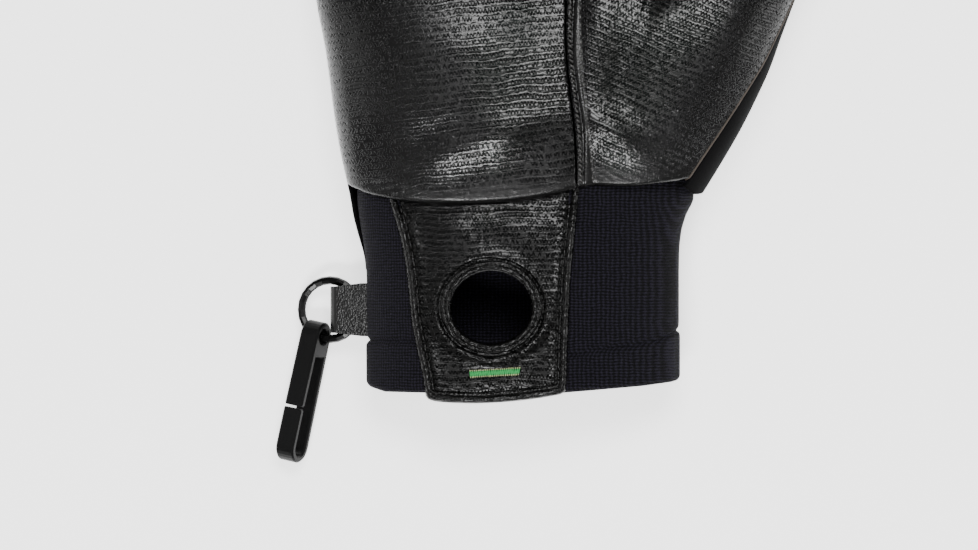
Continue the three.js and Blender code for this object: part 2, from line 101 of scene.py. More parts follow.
def ease(x, low, high):
    """Rises softly from 0 at one limit to 1 at the other."""
    t = np.clip((np.asarray(x, dtype=float) - low) / (high - low), 0, 1)
    return t * t * (3 - 2 * t)


def mix(a, b, t):
    return a + (b - a) * t


def bell(d, width):
    """A soft hill of height one around zero."""
    return np.exp(-((d / width) ** 2))


def angles(count):
    return 2 * np.pi * np.arange(count) / count


def smooth_read(places, values, at):
    """Reads a table on a smooth curve through its rows, without overshoot."""
    x = np.asarray(places, dtype=float)
    y = np.asarray(values, dtype=float)
    at = np.clip(np.asarray(at, dtype=float), x[0], x[-1])
    h = np.diff(x)
    slope = np.diff(y) / h
    tangent = np.zeros_like(y)
    tangent[0], tangent[-1] = slope[0], slope[-1]
    same = slope[:-1] * slope[1:] > 0
    w1 = 2 * h[1:] + h[:-1]
    w2 = h[1:] + 2 * h[:-1]
    safe = np.where(same, slope[:-1], 1)
    after = np.where(same, slope[1:], 1)
    tangent[1:-1] = np.where(same, (w1 + w2) / (w1 / safe + w2 / after), 0)
    k = np.clip(np.searchsorted(x, at) - 1, 0, len(h) - 1)
    t = (at - x[k]) / h[k]
    t2, t3 = t * t, t * t * t
    return (
        (2 * t3 - 3 * t2 + 1) * y[k]
        + (t3 - 2 * t2 + t) * h[k] * tangent[k]
        + (-2 * t3 + 3 * t2) * y[k + 1]
        + (t3 - t2) * h[k] * tangent[k + 1]
    )


def curve(points, step):
    """A smooth line through points, resampled at an even step."""
    p = np.asarray(points, dtype=float)
    ends = np.vstack([2 * p[0] - p[1], p, 2 * p[-1] - p[-2]])
    out = []
    for i in range(1, len(ends) - 2):
        a, b, c, d = ends[i - 1 : i + 3]
        t = np.linspace(0, 1, 24, endpoint=False)[:, None]
        square = 2 * a - 5 * b + 4 * c - d
        cube = 3 * b - a - 3 * c + d
        out.append(0.5 * (2 * b + (c - a) * t + square * t**2 + cube * t**3))
    line = np.vstack(out + [p[-1:]])
    run = np.concatenate([[0], np.cumsum(np.linalg.norm(np.diff(line, axis=0), axis=1))])
    places = np.linspace(0, run[-1], max(2, int(round(run[-1] / step)) + 1))
    return np.column_stack([np.interp(places, run, line[:, k]) for k in range(line.shape[1])])


def heading(line):
    """The direction of a line at each of its points."""
    ahead = np.gradient(line, axis=0)
    return ahead / np.linalg.norm(ahead, axis=1, keepdims=True)


def side_of(points, line, closed=False):
    """The distance of points to a flat line, above zero on its right side or inside a closed one."""
    p = points[:, :2]
    a = line if closed else line[:-1]
    b = np.roll(line, -1, axis=0) if closed else line[1:]
    best = np.full(len(p), 1e9)
    side = np.zeros(len(p))
    for start, end in zip(a, b):
        along = end - start
        rest = p - start
        t = np.clip(rest @ along / (along @ along), 0, 1)
        off = rest - t[:, None] * along
        d = np.hypot(off[:, 0], off[:, 1])
        cross = rest[:, 0] * along[1] - rest[:, 1] * along[0]
        nearer = d < best - 1e-9
        best = np.where(nearer, d, best)
        side = np.where(nearer, np.sign(cross), side)
    if closed:
        inside = np.zeros(len(p), dtype=bool)
        for start, end in zip(a, b):
            spans = (start[1] > p[:, 1]) != (end[1] > p[:, 1])
            x = start[0] + (p[:, 1] - start[1]) * (end[0] - start[0]) / (end[1] - start[1] + 1e-12)
            inside ^= spans & (p[:, 0] < x)
        side = np.where(inside, 1, -1)
    return best * side


# Meshes as arrays of points and triangles


def normals_of(points, tris):
    a, b, c = (points[tris[:, k]] for k in range(3))
    face = np.cross(b - a, c - a)
    out = np.zeros_like(points)
    for k in range(3):
        np.add.at(out, tris[:, k], face)
    return out / np.maximum(np.linalg.norm(out, axis=1, keepdims=True), 1e-12)


def used_only(points, tris):
    used = np.zeros(len(points), dtype=bool)
    used[tris] = True
    return points[used], (np.cumsum(used) - 1)[tris]


def edges_of(tris):
    """The edges of a mesh, and the three edges of each triangle."""
    pairs = np.sort(np.stack([tris[:, [0, 1]], tris[:, [1, 2]], tris[:, [2, 0]]], axis=1), axis=2)
    edges, inverse = np.unique(pairs.reshape(-1, 2), axis=0, return_inverse=True)
    return edges, inverse.reshape(-1, 3)


def split(points, tris, edges, of_tri, chosen, share):
    """Splits the chosen edges at a share of their length, and the triangles beside them."""
    fresh = np.cumsum(chosen) - 1 + len(points)
    a, b = points[edges[chosen, 0]], points[edges[chosen, 1]]
    points = np.vstack([points, a + (b - a) * share[:, None]])
    marked = chosen[of_tri]
    count = marked.sum(axis=1)
    out = [tris[count == 0]]
    for turn in range(3):
        t = np.roll(tris, -turn, axis=1)
        m = np.roll(marked, -turn, axis=1)
        e = np.roll(fresh[of_tri], -turn, axis=1)
        one = (count == 1) & m[:, 0]
        a, b, c = t[one].T
        ab = e[one, 0]
        out += [np.column_stack([a, ab, c]), np.column_stack([ab, b, c])]
        two = (count == 2) & m[:, 0] & m[:, 1]
        a, b, c = t[two].T
        ab, bc = e[two, 0], e[two, 1]
        out += [np.column_stack([ab, b, bc]), np.column_stack([a, ab, bc]), np.column_stack([a, bc, c])]
    three = count == 3
    a, b, c = tris[three].T
    ab, bc, ca = fresh[of_tri[three]].T
    out += [np.column_stack(x) for x in ((a, ab, ca), (ab, b, bc), (ca, bc, c), (ab, bc, ca))]
    return points, np.vstack(out)


def refine(points, tris, near):
    """Halves every edge with an end where near is true."""
    edges, of_tri = edges_of(tris)
    chosen = near[edges].any(axis=1)
    return split(points, tris, edges, of_tri, chosen, np.full(chosen.sum(), 0.5))


def slope_of(field, points, normals):
    """How a field changes along the surface."""
    reach = 0.05
    out = np.zeros_like(points)
    for k in range(3):
        shift = np.zeros(3)
        shift[k] = reach
        out[:, k] = (field(points + shift) - field(points - shift)) / (2 * reach)
    return out - normals * (out * normals).sum(axis=1, keepdims=True)


def clip(points, tris, field, spacing):
    """Keeps the part of a mesh where the field is above zero, with a clean edge along zero."""
    value = field(points)
    band = np.abs(value) < 1.5 * spacing
    slope = np.zeros_like(points)
    normals = normals_of(points, tris)
    slope[band] = slope_of(field, points[band], normals[band])
    size = np.maximum((slope**2).sum(axis=1), 1e-6)
    # Points close to the edge slide onto it, so that no thin triangles are left
    slide = band & (np.abs(value) < 0.3 * spacing * np.sqrt(size)) & (size > 0.05)
    points = points - np.where(slide, value / size, 0)[:, None] * slope
    value = np.where(slide, 0, value)
    edges, of_tri = edges_of(tris)
    a, b = value[edges[:, 0]], value[edges[:, 1]]
    chosen = a * b < 0
    share = a[chosen] / (a[chosen] - b[chosen])
    points, tris = split(points, tris, edges, of_tri, chosen, share)
    value = np.concatenate([value, np.zeros(len(points) - len(value))])
    return used_only(points, tris[value[tris].sum(axis=1) > 1e-9])


def relaxed(points, tris, shares):
    """Moves points toward the middle of their neighbours by each share in turn, or away below zero."""
    edges, _ = edges_of(tris)
    number = np.bincount(edges.ravel(), minlength=len(points))[:, None]
    for share in shares:
        total = np.zeros_like(points)
        np.add.at(total, edges[:, 0], points[edges[:, 1]])
        np.add.at(total, edges[:, 1], points[edges[:, 0]])
        points = points + (total / number - points) * share
    return points


def thicken(points, tris, wall):
    """A surface as a sheet of a given thickness, closed along its edges."""
    normals = normals_of(points, tris)
    n = len(points)
    directed = np.vstack([tris[:, [0, 1]], tris[:, [1, 2]], tris[:, [2, 0]]])
    key = np.sort(directed, axis=1)
    _, inverse, count = np.unique(key, axis=0, return_inverse=True, return_counts=True)
    a, b = directed[count[inverse.ravel()] == 1].T
    rim = [np.column_stack([b, a, a + n]), np.column_stack([b, a + n, b + n])]
    return np.vstack([points, points - normals * wall]), np.vstack([tris, tris[:, ::-1] + n, *rim])


def grid_tris(rows, columns, wrap_rows=False, wrap_columns=False):
    r = np.arange(rows if wrap_rows else rows - 1)
    c = np.arange(columns if wrap_columns else columns - 1)
    r, c = (x.ravel() for x in np.meshgrid(r, c, indexing="ij"))
    a = r * columns + c
    b = ((r + 1) % rows) * columns + c
    d = r * columns + (c + 1) % columns
    e = ((r + 1) % rows) * columns + (c + 1) % columns
    return np.vstack([np.column_stack([a, b, d]), np.column_stack([d, b, e])])


def outward(points, tris):
    """Turns a closed mesh so that its faces look outward."""
    a, b, c = (points[tris[:, k]] for k in range(3))
    return tris if (np.cross(a, b) * c).sum() > 0 else tris[:, ::-1]


def join(*meshes):
    points, tris, base = [], [], 0
    for p, t in meshes:
        points.append(p)
        tris.append(t + base)
        base += len(p)
    return np.vstack(points), np.vstack(tris)


def circle(centre, radius, across, up, sides):
    turn = angles(sides)
    return centre + radius * (np.outer(np.cos(turn), across) + np.outer(np.sin(turn), up))


def loft(rings):
    """A closed mesh through rings of points, with a flat end at each side."""
    rows, columns = len(rings), len(rings[0])
    points = np.vstack(rings + [rings[0].mean(axis=0), rings[-1].mean(axis=0)])
    here = np.arange(columns)
    there = (here + 1) % columns
    first, last = rows * columns, (rows - 1) * columns
    tris = np.vstack([
        grid_tris(rows, columns, wrap_columns=True),
        np.column_stack([np.full(columns, first), here, there]),
        np.column_stack([np.full(columns, first + 1), last + there, last + here]),
    ])
    return points, outward(points, tris)


def linked(name, data):
    """A new object in the scene."""
    obj = bpy.data.objects.new(name, data)
    bpy.context.collection.objects.link(obj)
    return obj


def piece(name, points, tris, material, slot, replaces=(), **shares):
    """A finished mesh as an object on the frame; each share is a number from 0 to 1 on its points."""
    mesh = bpy.data.meshes.new(name)
    mesh.from_pydata((points * MM).tolist(), [], tris.tolist())
    mesh.polygons.foreach_set("use_smooth", np.ones(len(mesh.polygons), dtype=bool))
    for share, values in shares.items():
        layer = mesh.attributes.new(share, "FLOAT", "POINT")
        layer.data.foreach_set("value", np.asarray(values, dtype=float))
    mesh.materials.append(material)
    obj = linked(name, mesh)
    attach(obj, "root")
    if replaces:
        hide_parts(*replaces)


# The glove's form, from the same sections as the part


def finger_middle(y):
    """The height of the fingers' middle, which is also where the palm's leather meets the back."""
    start = 0.86 * PALM_LENGTH
    reach = np.maximum(0, (np.asarray(y, dtype=float) - start) / PALM_LENGTH)
    rooted = mix(SEAM_HEIGHT, 0.53 * FINGER_THICKNESS, ease(y, 0.5 * PALM_LENGTH, start))
    return rooted + FINGER_CURL * reach**1.5


def thumb_middle(along):
    reach = np.maximum(0, np.asarray(along, dtype=float) / THUMB_LENGTH)
    return SEAM_HEIGHT + 0.5 * FINGER_CURL * reach**1.5


THUMB_BASE = np.array([24.0, 0.0, 0.0])
THUMB_ALONG = np.array([math.sin(THUMB_ANGLE), math.cos(THUMB_ANGLE), 0])
THUMB_ACROSS = np.array([THUMB_ALONG[1], -THUMB_ALONG[0], 0])


def parting_height(p):
    """The height at which the leather of the palm's side meets the cloth of the back."""
    place = p - THUMB_BASE
    along = place @ THUMB_ALONG
    out = place @ THUMB_ACROSS
    wrap = mix(1, 0.3, ease(along, 0.1 * THUMB_LENGTH, 0.8 * THUMB_LENGTH))
    thumb = thumb_middle(along) + wrap * np.maximum(0, out - 0.1 * THUMB_WIDTH)
    beside = ease(p[:, 0], 44, 56)
    below = 1 - ease(p[:, 1], 0.58 * PALM_LENGTH, 0.78 * PALM_LENGTH)
    return mix(finger_middle(p[:, 1]), thumb, np.maximum(beside, below))


# Rows along the cuff: place, then reach to the left, to the right and upward, as shares of its sizes
CUFF_ROWS = np.array([
    (-0.13, 0.53, 0.545, 0.97), (-0.02, 0.53, 0.547, 0.98), (0.08, 0.524, 0.522, 0.99),
    (0.16, 0.516, 0.508, 1), (0.27, 0.506, 0.501, 1), (0.4, 0.5, 0.5, 1), (1.1, 0.497, 0.5, 1),
])
# Rows along the palm: place, then reach to the left, to the right, upward and down
PALM_ROWS = np.array([
    (0.13, 0.514, 0.49, 0.95, 1.2), (0.24, 0.533, 0.46, 1, 1.2), (0.4, 0.555, 0.43, 1, 1.2),
    (0.54, 0.582, 0.42, 0.96, 1.2), (0.72, 0.6, 0.42, 0.86, 1.1), (0.87, 0.595, 0.425, 0.76, 0.85),
    (0.95, 0.58, 0.42, 0.66, 0.7), (1.01, 0.55, 0.4, 0.52, 0.5), (1.03, 0.53, 0.38, 0.42, 0.35),
])
# The fingers: place across the palm, start along it, then length, width and splay in degrees
FINGERS = (
    (-0.47, 0.86, 61, 24, -8),
    (-0.215, 0.95, 79, 26.5, -3),
    (0.045, 0.97, 86, 27.5, 0.5),
    (0.3, 0.94, 75, 26.5, 4),
)
# Rows along a finger, as place and thickness, and along the thumb, as place, width and thickness
FINGER_ROWS = np.array([
    (-0.3, 0.96), (0, 1), (0.32, 0.96), (0.62, 0.94), (0.84, 0.88), (0.93, 0.74), (0.98, 0.5), (1, 0.24),
])
THUMB_ROWS = np.array([
    (-0.03, 0.86, 0.9), (0.1, 1, 1), (0.25, 1.02, 1.06), (0.4, 0.97, 1.02), (0.52, 0.85, 0.88),
    (0.64, 0.74, 0.76), (0.8, 0.68, 0.7), (0.91, 0.6, 0.62), (0.965, 0.46, 0.48), (0.99, 0.3, 0.32),
    (1, 0.14, 0.16),
])


def cuff_reach(y):
    place = -np.asarray(y, dtype=float) / CUFF_LENGTH
    left, right, high = (smooth_read(CUFF_ROWS[:, 0], CUFF_ROWS[:, k], place) for k in (1, 2, 3))
    return left * CUFF_WIDTH, right * CUFF_WIDTH, high * CUFF_HEIGHT


def cuff_top(x, y):
    """The height of the cuff's upper side."""
    left, right, high = cuff_reach(y)
    share = np.minimum(1, np.abs(x - (right - left) / 2) / ((right + left) / 2))
    return SEAM_HEIGHT + (high - SEAM_HEIGHT) * (1 - share**ROUNDNESS) ** (1 / ROUNDNESS)


def ring(middle, across, half, up, down, floor, sides=120):
    """One section of the glove, a rounded box that is flat where it lies on the floor."""
    c, s = np.cos(angles(sides)), np.sin(angles(sides))
    width = np.sign(c) * np.abs(c) ** (2 / ROUNDNESS) * half
    rise = np.sign(s) * np.abs(s) ** (2 / ROUNDNESS) * np.where(s > 0, up, down)
    points = np.asarray(middle, dtype=float) + np.outer(width, across)
    points[:, 2] = np.maximum(points[:, 2] + rise, floor)
    return points


def palm_loft():
    grow = SHELL_WALL + GAP
    ys, rows = [], []
    for y in (SHELL_LOW, 0.7 * SHELL_LOW, 0.4 * SHELL_LOW, 0.0):
        left, right, high = (float(v) for v in cuff_reach(y))
        ys.append(y)
        rows.append((left + grow, right + grow, high + grow - SEAM_HEIGHT, 1.2 * SEAM_HEIGHT))
    for along, left, right, high, low in PALM_ROWS:
        ys.append(along * PALM_LENGTH)
        up = high * PALM_HEIGHT - SEAM_HEIGHT
        rows.append((left * PALM_WIDTH, right * PALM_WIDTH, up, low * SEAM_HEIGHT))
    rows = np.array(rows)
    rings = []
    for y in np.arange(ys[0], ys[-1] + 0.1, 1.5):
        left, right, up, down = (float(smooth_read(ys, rows[:, k], y)) for k in range(4))
        middle = ((right - left) / 2, y, float(finger_middle(y)))
        rings.append(ring(middle, (1, 0, 0), (right + left) / 2, up, down, 0))
    return loft(rings)


def finger_loft(base, start, length, width, splay):
    lean = math.radians(splay)
    along = np.array([math.sin(lean), math.cos(lean), 0])
    across = np.array([along[1], -along[0], 0])
    origin = np.array([base * PALM_WIDTH, start * PALM_LENGTH, 0])
    rings = []
    for t in np.concatenate([np.linspace(-0.3, 0.9, 40), np.linspace(0.91, 1, 14)]):
        middle = origin + along * t * length
        middle[2] = finger_middle(middle[1])
        share = float(smooth_read(FINGER_ROWS[:, 0], FINGER_ROWS[:, 1], t))
        rise = share * FINGER_THICKNESS / 2
        rings.append(ring(middle, across, share * width / 2, rise, rise, 0))
    return loft(rings)


def thumb_loft():
    rings = []
    for t in np.concatenate([np.linspace(-0.03, 0.9, 60), np.linspace(0.91, 1, 16)]):
        middle = THUMB_BASE + THUMB_ALONG * t * THUMB_LENGTH
        middle[2] = thumb_middle(t * THUMB_LENGTH)
        width = float(smooth_read(THUMB_ROWS[:, 0], THUMB_ROWS[:, 1], t))
        rise = float(smooth_read(THUMB_ROWS[:, 0], THUMB_ROWS[:, 2], t)) * THUMB_THICKNESS / 2
        rings.append(ring(middle, THUMB_ACROSS, width * THUMB_WIDTH / 2, rise, rise, 0))
    return loft(rings)


def melted(meshes, spacing):
    """Overlapping closed meshes as one even skin."""
    points, tris = join(*meshes)
    mesh = bpy.data.meshes.new("melt")
    mesh.from_pydata((points * MM).tolist(), [], tris.tolist())
    obj = linked("melt", mesh)
    remesh = obj.modifiers.new("remesh", "REMESH")
    remesh.mode = "VOXEL"
    remesh.voxel_size = spacing * MM
    done = obj.evaluated_get(bpy.context.evaluated_depsgraph_get()).to_mesh()
    done.calc_loop_triangles()
    out = np.zeros(len(done.vertices) * 3)
    done.vertices.foreach_get("co", out)
    index = np.zeros(len(done.loop_triangles) * 3, dtype=np.int32)
    done.loop_triangles.foreach_get("vertices", index)
    obj.to_mesh_clear()
    bpy.data.objects.remove(obj)
    bpy.data.meshes.remove(mesh)
    return out.reshape(-1, 3) / MM, index.reshape(-1, 3).astype(np.int64)


# Lines read off the photograph, some carried on in millimetres where its edge or the cuff hides them
SEAM_IN_VIEW = photo(
    (588, 330), (580, 215), (576, 185), (575, 147), (571.3, 107), (567.3, 73), (565.3, 40), (565.6, 0),
)
SEAM_BEYOND = [(11.9, 58.6), (14.5, 67.6), (23, 74.9), (34, 77.5), (45, 77), (52, 89.4), (62, 156)]
SEAM_GROOVE = curve(np.vstack([SEAM_IN_VIEW, SEAM_BEYOND]), 2.0)
SECOND_GROOVE = curve(photo(
    (582, 260), (582, 184), (582.4, 140), (579.7, 113), (576, 85), (572.6, 56), (573.3, 27), (575, 0),
    (580, -50),
), 1.5)
THUMB_STITCHES = curve(photo(
    (594, 210), (592.7, 185), (591.3, 167), (588.7, 140), (586, 113), (582.4, 80), (581.5, 60), (580.3, 33),
    (580.3, 0), (584, -50),
), 1.5)
HEM_IN_VIEW = photo(
    (329, 181), (348.7, 187.6), (368, 195.4), (391, 200), (420, 203.5), (472, 204.6), (527, 200),
    (567, 192.5), (589, 186.8), (629, 187.8), (673, 183.4), (700, 181),
)
LEATHER_HEM = curve(np.vstack([[(-110, 8), (-80, 6)], HEM_IN_VIEW, [(80, 5), (110, 5)]]), 2.0)
BACK_CORNER = curve(photo(
    (590, 180), (640, 181), (672, 181.5), (681, 185), (690, 191.5), (696.5, 195.2), (702, 194.3),
    (706.5, 191.5), (712, 185), (720, 172), (735, 146), (760, 100),
), 1.0)
BACK_HEM = curve([(-120, -23.2), (-70, -21), (-44, -19.4), (0, -9.5), (44, 0.4), (52, 1.6), (110, 1.6)], 2.0)
CREASE = photo(
    (366, 340), (420, 342), (500, 350), (574, 354.5), (599, 348.6), (628.3, 345.7), (657.6, 340.6),
    (679.6, 329.6),
)
CUFF_END = photo(
    (362, 384), (372, 388), (385, 392), (470, 393.5), (555, 393.3), (599, 389.7), (643, 386), (672, 382.3),
    (682, 380),
)
TAB_LEFT = photo((386, 190), (389.8, 203), (401, 241), (407.3, 279.5), (411, 318), (416.6, 348.5), (422, 373))
TAB_END = photo(
    (425.3, 392), (428, 398.5), (440, 401.7), (470, 403), (500, 402), (530, 399), (556, 394.8), (563.5, 392),
)
TAB_RIGHT = photo((566.3, 383.7), (568, 333), (571.2, 272), (575.8, 226), (579, 197), (580, 180))
TACK_ENDS = photo((470, 373.6), (519.4, 370.6))

# Full places of the leather: how high, where in the photograph, reach along and across, and turn in degrees
FULL_SPOTS = (
    (1.1, (450, 152), 8, 5, 10),
    (1.45, (502, 138), 9, 5.5, 12),
    (0.4, (480, 60), 24, 14, 0),
    (2.3, (614, 133), 9, 5, -30),
    (2.6, (641, 5), 8, 19, -6),
)
# The thumb's lower corner, where the emboss is worn away: place, then reach along and across
WORN_SPOT = ((690, 165), 16, 9)


def spot(p, place, along, across, turn=0.0):
    """A soft hill of height one over a place in the photograph."""
    (cx, cy), = photo(place)
    c, s = math.cos(math.radians(turn)), math.sin(math.radians(turn))
    x, y = p[:, 0] - cx, p[:, 1] - cy
    u = (x * c + y * s) / along
    v = (y * c - x * s) / across
    return np.exp(-u * u - v * v)


def above_parting(p):
    return p[:, 2] - parting_height(p)


def above_hem(p):
    return -side_of(p, LEATHER_HEM)


def thumbward(p):
    return side_of(p, SEAM_GROOVE)


def swell(p):
    """Soft fullness and dents of the filled leather, in millimetres outward."""
    x, y = p[:, 0], p[:, 1]
    out = sum(rise * spot(p, *where) for rise, *where in FULL_SPOTS)
    # The hollow of the palm, the bank along the seam, and the dip between them
    below_fingers = 1 - ease(y, 90, 125)
    out -= 2.6 * ease(y, 36, 80) * (1 - ease(x, 8, 18)) * below_fingers
    out += 1.6 * ease(y, 20, 60) * ease(x, 12, 22) * below_fingers
    out -= 1.8 * ease(y, 16, 50) * ease(x, -14, 6) * (1 - ease(x, 12, 24)) * below_fingers
    # The roll above the hem
    out += 1.3 * bell(y - 2, 8) * ease(x, -48, -34) * (1 - ease(x, 8, 20))
    # The seam's ridge, its second groove, and the furrow of the stitches
    first, second, stitched = (side_of(p, line) for line in (SEAM_GROOVE, SECOND_GROOVE, THUMB_STITCHES))
    beside_seam = (y < VIEW_TOP) & (x > 0) & (x < 30)
    relief = 0.35 * bell(first - 1.1, 0.9) - 0.9 * bell(second, 0.42) - 0.25 * bell(stitched, 0.5)
    return out + beside_seam * relief


def pressed(p):
    """How deep the leather is embossed: hardly at all on the seam's narrow strip and on the rolled hem."""
    strip = (side_of(p, SECOND_GROOVE) > -0.2) & (side_of(p, THUMB_STITCHES) < 0.3) & (p[:, 1] < VIEW_TOP)
    out = np.where(strip, 0.12, 1.0)
    uneven = 1.2 * np.sin(p[:, 0] * 0.21)
    out *= mix(0.25, 1, ease(above_hem(p) + uneven, 2.5, 6))
    return out * (1 - 0.7 * spot(p, *WORN_SPOT))


def build_hand():
    """The whole hand as one skin, swollen where the leather is full."""
    points, tris = melted([palm_loft(), thumb_loft(), *(finger_loft(*f) for f in FINGERS)], HAND_STEP)
    tris = outward(points, tris)
    # Toward and away in turn smooths the skin and holds its volume
    points = relaxed(points, tris, [0.5, -0.52] * 14)
    points[:, 2] = np.maximum(points[:, 2], 0.04)
    # The web beside the thumb is evened out alone
    x, y, z = points.T
    web = ease(x, 6, 16) * (1 - ease(x, 48, 60)) * (1 - ease(y, 66, 84)) * ease(z, 19, 23)
    points = relaxed(points, tris, [0.6 * web[:, None]] * 60)
    # Smaller triangles where seams and hems bend the skin, where they show
    near = np.minimum(np.abs(thumbward(points)), np.abs(above_hem(points)))
    near = np.minimum(near, np.abs(above_parting(points)))
    shown = (points[:, 1] < VIEW_TOP) & (points[:, 2] > 6)
    points, tris = refine(points, tris, shown & (near < 4))
    normals = normals_of(points, tris)
    up = np.clip(normals[:, 2], 0, 1)
    return points + normals * (swell(points) * up)[:, None], tris


def rolled(points, tris, fields, radii):
    """Rolls the edges of a panel inward, so that it looks folded under along its seams."""
    normals = normals_of(points, tris)
    drop = np.zeros(len(points))
    for field, radius in zip(fields, radii):
        value = np.abs(field(points))
        band = value < 2 * radius
        size = np.sqrt((slope_of(field, points[band], normals[band]) ** 2).sum(axis=1))
        t = np.clip(value[band] / np.maximum(size, 0.2) / radius, 0, 1)
        drop[band] = np.maximum(drop[band], radius * (1 - np.sqrt(1 - (1 - t) ** 2)))
    return points - normals * drop[:, None]


def panel(points, tris, keeps, radii):
    """One panel cut from the hand, with its depth of emboss and the points along its first edge."""
    for field in keeps:
        points, tris = clip(points, tris, field, HAND_STEP / 2)
    press = pressed(points)
    rim = np.abs(keeps[0](points)) < 1e-3
    points = rolled(points, tris, keeps, radii)
    return points, tris, press, points[rim]


# Materials


class Shade:
    """A short way to write a material's nodes, in millimetres."""

    def __init__(self, name):
        self.material = bpy.data.materials.new(name)
        self.material.use_nodes = True
        self.tree = self.material.node_tree
        self.bsdf = self.tree.nodes["Principled BSDF"]

    def put(self, socket, value):
        if isinstance(value, bpy.types.NodeSocket):
            self.tree.links.new(value, socket)
        elif value is not None:
            socket.default_value = value

    def math(self, operation, a, b=None, c=None):
        node = self.tree.nodes.new("ShaderNodeMath")
        node.operation = operation
        for k, value in enumerate((a, b, c)):
            self.put(node.inputs[k], value)
        return node.outputs[0]

    def plus(self, a, b):
        return self.math("ADD", a, b)

    def less(self, a, b):
        return self.math("SUBTRACT", a, b)

    def times(self, a, b):
        return self.math("MULTIPLY", a, b)

    def centred(self, value, size):
        """A value from 0 to 1 spread over a size, half of it below zero."""
        return self.times(self.less(value, 0.5), size)

    def place(self, turn=0.0):
        """The place on the glove in millimetres, turned about the upright axis."""
        where = self.tree.nodes.new("ShaderNodeTexCoord").outputs["Object"]
        node = self.tree.nodes.new("ShaderNodeMapping")
        self.put(node.inputs["Vector"], where)
        node.inputs["Scale"].default_value = (1 / MM, 1 / MM, 1 / MM)
        node.inputs["Rotation"].default_value = (0, 0, math.radians(turn))
        return node.outputs[0]

    def share(self, name):
        """A number stored on the points of the mesh."""
        node = self.tree.nodes.new("ShaderNodeAttribute")
        node.attribute_name = name
        return node.outputs["Fac"]

    def axes(self, vector):
        node = self.tree.nodes.new("ShaderNodeSeparateXYZ")
        self.put(node.inputs[0], vector)
        return node.outputs

    def vector(self, x, y, z=0.0):
        node = self.tree.nodes.new("ShaderNodeCombineXYZ")
        for k, value in enumerate((x, y, z)):
            self.put(node.inputs[k], value)
        return node.outputs[0]

    def noise(self, vector, scale, detail=2.0, rough=0.5):
        node = self.tree.nodes.new("ShaderNodeTexNoise")
        self.put(node.inputs["Vector"], vector)
        node.inputs["Scale"].default_value = scale
        node.inputs["Detail"].default_value = detail
        node.inputs["Roughness"].default_value = rough
        return node.outputs[0]

    def cells(self, vector, scale):
        node = self.tree.nodes.new("ShaderNodeTexVoronoi")
        self.put(node.inputs["Vector"], vector)
        node.inputs["Scale"].default_value = scale
        return node.outputs[0]

    def span(self, value, low, high, to_low=0.0, to_high=1.0):
        node = self.tree.nodes.new("ShaderNodeMapRange")
        node.interpolation_type = "SMOOTHSTEP"
        self.put(node.inputs[0], value)
        for k, limit in enumerate((low, high, to_low, to_high)):
            node.inputs[k + 1].default_value = limit
        return node.outputs[0]

    def colour(self, share, a, b):
        node = self.tree.nodes.new("ShaderNodeMix")
        node.data_type = "RGBA"
        self.put(node.inputs[0], share)
        self.put(node.inputs[6], (*a, 1))
        self.put(node.inputs[7], (*b, 1) if isinstance(b, tuple) else b)
        return node.outputs[2]

    def bump(self, height, distance):
        """A relief that is a distance in millimetres deep."""
        node = self.tree.nodes.new("ShaderNodeBump")
        node.inputs["Strength"].default_value = 1
        node.inputs["Distance"].default_value = distance * MM
        self.put(node.inputs["Height"], height)
        return node.outputs[0]

    def finish(self, colour, rough, normal=None, specular=0.5, sheen=0.0):
        self.put(self.bsdf.inputs["Base Color"], (*colour, 1) if isinstance(colour, tuple) else colour)
        self.put(self.bsdf.inputs["Roughness"], rough)
        if normal is not None:
            self.put(self.bsdf.inputs["Normal"], normal)
        self.bsdf.inputs["Specular IOR Level"].default_value = specular
        self.bsdf.inputs["Sheen Weight"].default_value = sheen
        return self.material


